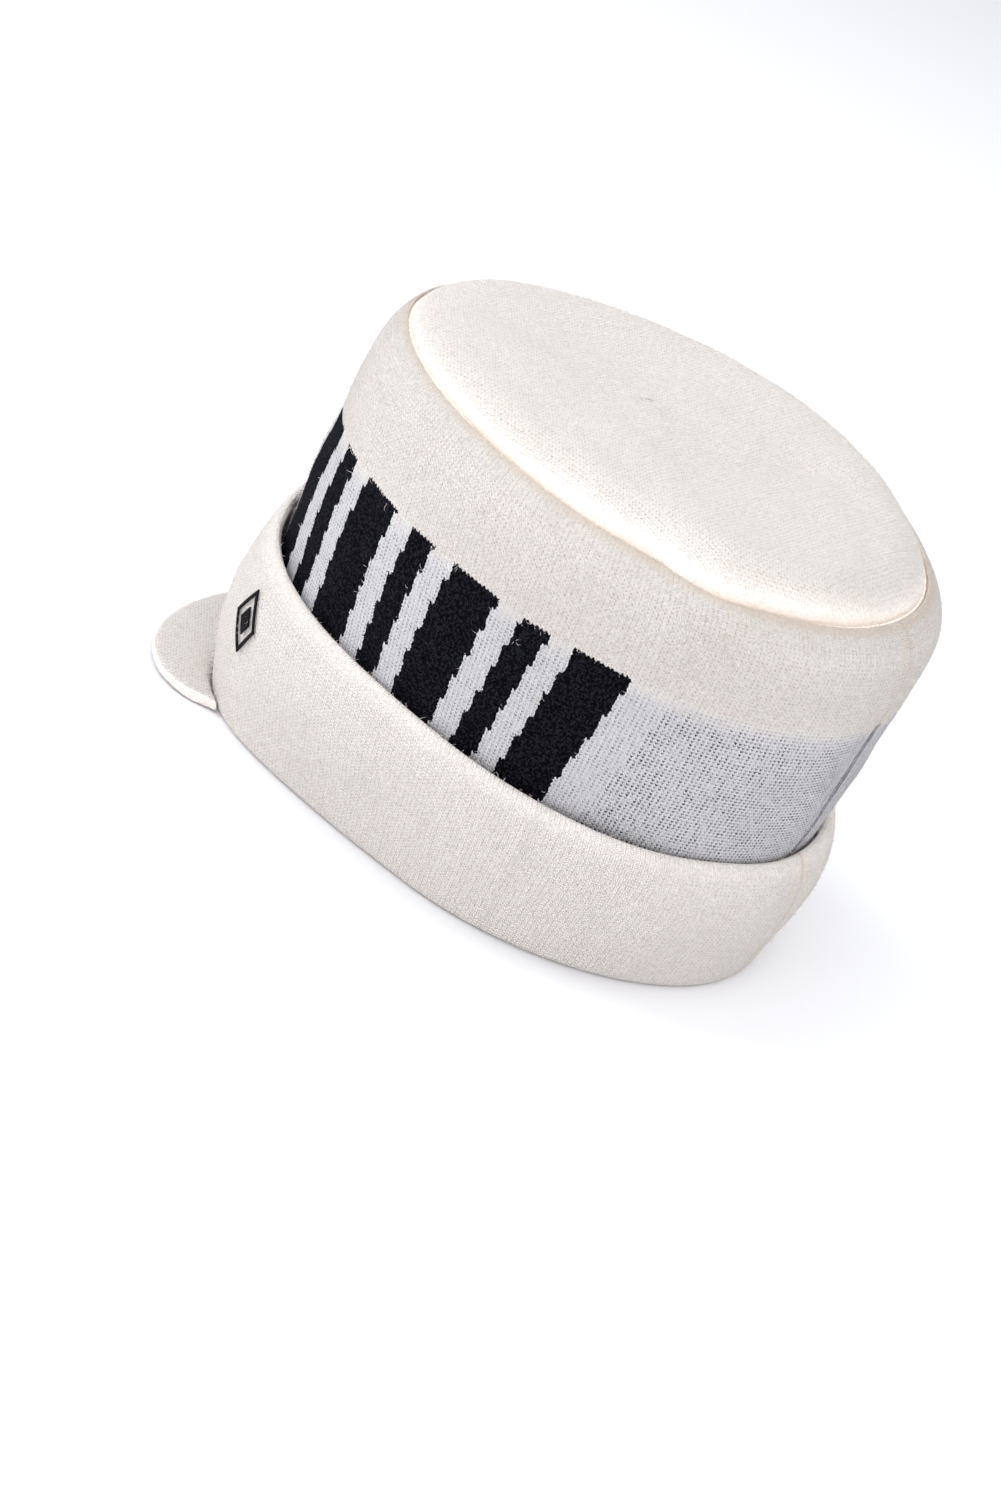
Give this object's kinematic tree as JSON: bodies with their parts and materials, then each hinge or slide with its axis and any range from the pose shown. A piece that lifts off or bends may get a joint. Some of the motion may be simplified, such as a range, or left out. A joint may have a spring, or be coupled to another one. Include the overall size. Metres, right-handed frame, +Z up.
{
  "type": "knit work cap",
  "caption": "Soft knit cap with a flat oval crown, a turned-up cuff and a short peak, open below for a head.",
  "frame": {"origin": "middle of the cap's box, on the plane of the rim's underside", "axes": "+Z up, -Y towards the peak, +X towards the wearer's left"},
  "size_m": [0.1858, 0.257, 0.1631],
  "materials": {
    "cream_knit": "fine matt wool knit, off-white",
    "patterned_knit": "matt wool knit, off-white above, pale grey with black bars below"
  },
  "bodies": {
    "root": {"crown_top": "cream_knit", "crown_side": "patterned_knit", "cuff": "cream_knit", "peak": "cream_knit"}
  },
  "joints": []
}
